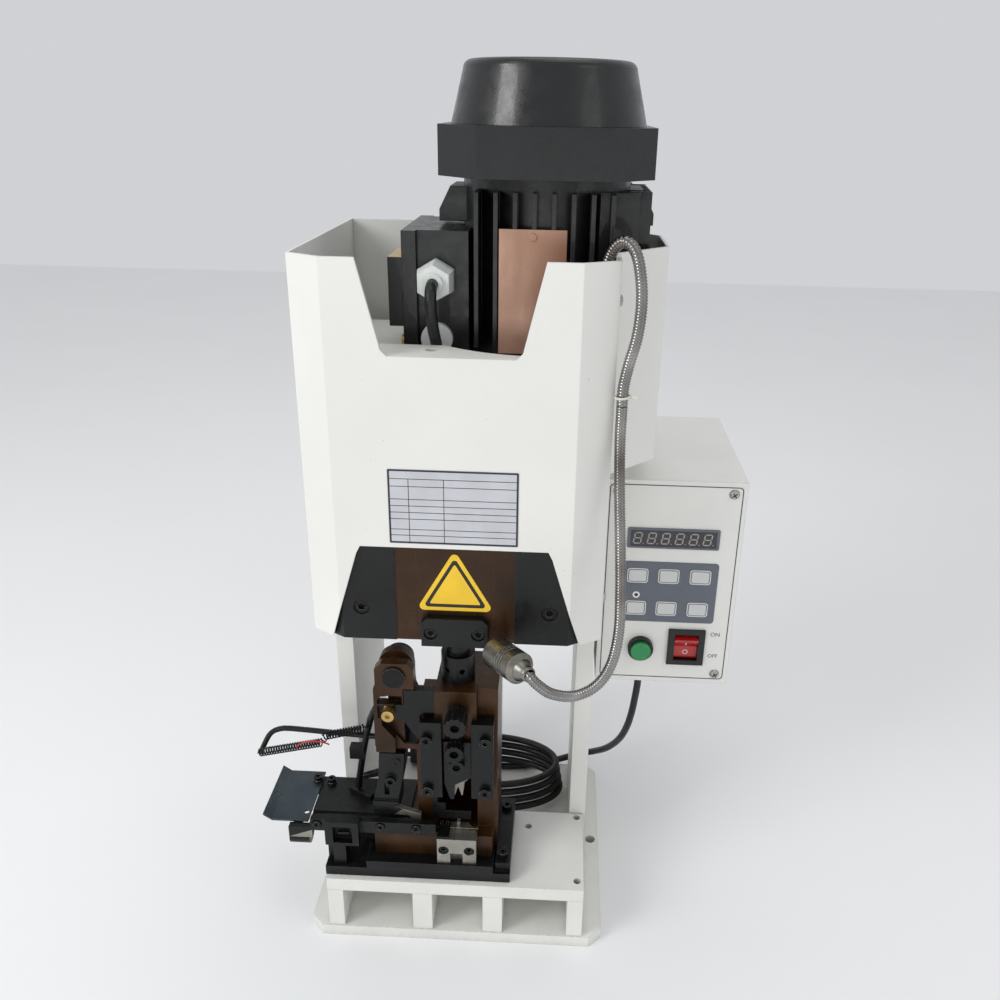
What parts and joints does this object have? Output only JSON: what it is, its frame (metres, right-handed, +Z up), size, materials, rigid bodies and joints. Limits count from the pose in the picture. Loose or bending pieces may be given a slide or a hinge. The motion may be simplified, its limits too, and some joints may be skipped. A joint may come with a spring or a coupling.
{
  "type": "terminal crimping machine",
  "caption": "Bench press that crimps terminals on wire ends: side frames, geared motor, guided ram, side feed applicator, counter box and lamp.",
  "frame": {"origin": "middle of the base plate's underside", "axes": "+X to the right as seen from the front, +Y to the back, +Z up"},
  "size_m": [0.3931, 0.3119, 0.668],
  "materials": {
    "white_coat": "satin powder coat",
    "black_oxide": "oiled black oxide",
    "brown_steel": "browned steel",
    "ground_steel": "ground",
    "chrome_arm": "polished",
    "lamp_metal": "brushed",
    "motor_paint": "satin paint on cast metal",
    "bronze": "machined",
    "plate_copper": "printed foil",
    "pale_plastic": "matte",
    "black_plastic": "matte",
    "black_rubber": "matte",
    "green_plastic": "gloss",
    "red_plastic": "gloss"
  },
  "bodies": {
    "frame": {"base_plate": "white_coat", "bench_rails": "white_coat", "bench_plate": "white_coat", "left_side_frame": "white_coat", "right_side_frame": "white_coat", "head_block": "brown_steel", "top_plate": "white_coat", "left_gib": "black_oxide", "right_gib": "black_oxide", "gib_screws": "black_oxide", "front_cover": "white_coat", "rear_cover": "white_coat", "cover_screws": "ground_steel", "gearbox_housing": "motor_paint", "motor_frame": "motor_paint", "brake_housing": "motor_paint", "fan_cover": "motor_paint", "terminal_box": "motor_paint", "terminal_box_lid": "motor_paint", "cable_gland": "pale_plastic", "blind_plug": "pale_plastic", "motor_nameplate": "plate_copper", "motor_cable": "black_rubber", "control_box": "white_coat", "control_panel": "white_coat", "panel_screws": "ground_steel", "membrane_panel": "black_plastic", "button_bezel": "black_plastic", "switch_bezel": "black_plastic", "gooseneck_upper": "chrome_arm", "power_cord": "black_rubber", "cord_coil": "black_rubber", "power_plug": "black_rubber", "applicator_base": "black_oxide", "applicator_frame": "brown_steel", "guide_bars": "black_oxide", "applicator_screws": "black_oxide", "crimp_anvil": "ground_steel", "strip_track": "black_oxide", "entry_tray": "black_oxide", "spring_arm": "black_oxide", "tension_spring": "ground_steel"},
    "press_ram": {"ram": "brown_steel", "ram_hook": "black_oxide", "hook_screws": "black_oxide", "applicator_ram": "brown_steel", "ram_post": "black_oxide", "crimp_punch": "black_oxide", "cam_plate": "black_oxide"},
    "crank": {"crankshaft": "ground_steel", "worm_wheel": "bronze"},
    "rotor": {"motor_rotor": "ground_steel", "cooling_fan": "black_plastic"},
    "feed": {"feed_lever": "brown_steel"},
    "wire_dial": {"wire_dial": "black_oxide"},
    "insulation_dial": {"insulation_dial": "black_oxide"},
    "button": {"light_button": "green_plastic"},
    "rocker": {"power_rocker": "red_plastic"},
    "lamp": {"gooseneck_lower": "chrome_arm", "lamp_head": "lamp_metal"}
  },
  "joints": [
    {"name": "ram_slide", "type": "slide", "parent": "frame", "child": "press_ram", "axis": [0, 0, -1], "range_m": [0, 0.03]},
    {"name": "crank_turn", "type": "hinge", "parent": "frame", "child": "crank", "pos_m": [0, 0, 0.4], "axis": [0, 1, 0], "range_deg": [0, 180.1]},
    {"name": "motor_turn", "type": "hinge", "parent": "frame", "child": "rotor", "pos_m": [0.057, 0.034, 0.5], "axis": [0, 0, 1], "range_deg": [0, 1306]},
    {"name": "feed_swing", "type": "hinge", "parent": "frame", "child": "feed", "pos_m": [-0.0465, -0.072, 0.2405], "axis": [0, 1, 0], "range_deg": [0, 5.51]},
    {"name": "wire_dial_turn", "type": "hinge", "parent": "press_ram", "child": "wire_dial", "pos_m": [0.0018, -0.09, 0.2115], "axis": [0, 1, 0], "range_deg": [0, 330]},
    {"name": "insulation_dial_turn", "type": "hinge", "parent": "press_ram", "child": "insulation_dial", "pos_m": [0.0005, -0.09, 0.1845], "axis": [0, 1, 0], "range_deg": [0, 330]},
    {"name": "button_press", "type": "slide", "parent": "frame", "child": "button", "axis": [0, 1, 0], "range_m": [0, 0.003], "stiffness_N_per_m": 300},
    {"name": "rocker_tilt", "type": "hinge", "parent": "frame", "child": "rocker", "pos_m": [0.1855, 0.023, 0.215], "axis": [-1, 0, 0], "range_deg": [0, 20]},
    {"name": "lamp_swing", "type": "hinge", "parent": "frame", "child": "lamp", "pos_m": [0.113, -0.071, 0.455], "axis": [0, 0, 1], "range_deg": [0, 55]}
  ],
  "couplings": [
    {"joint": "crank_turn", "follows": "ram_slide", "rad_per_m": 104.72},
    {"joint": "motor_turn", "follows": "ram_slide", "rad_per_m": 759.2},
    {"joint": "feed_swing", "follows": "ram_slide", "rad_per_m": 3.2}
  ]
}
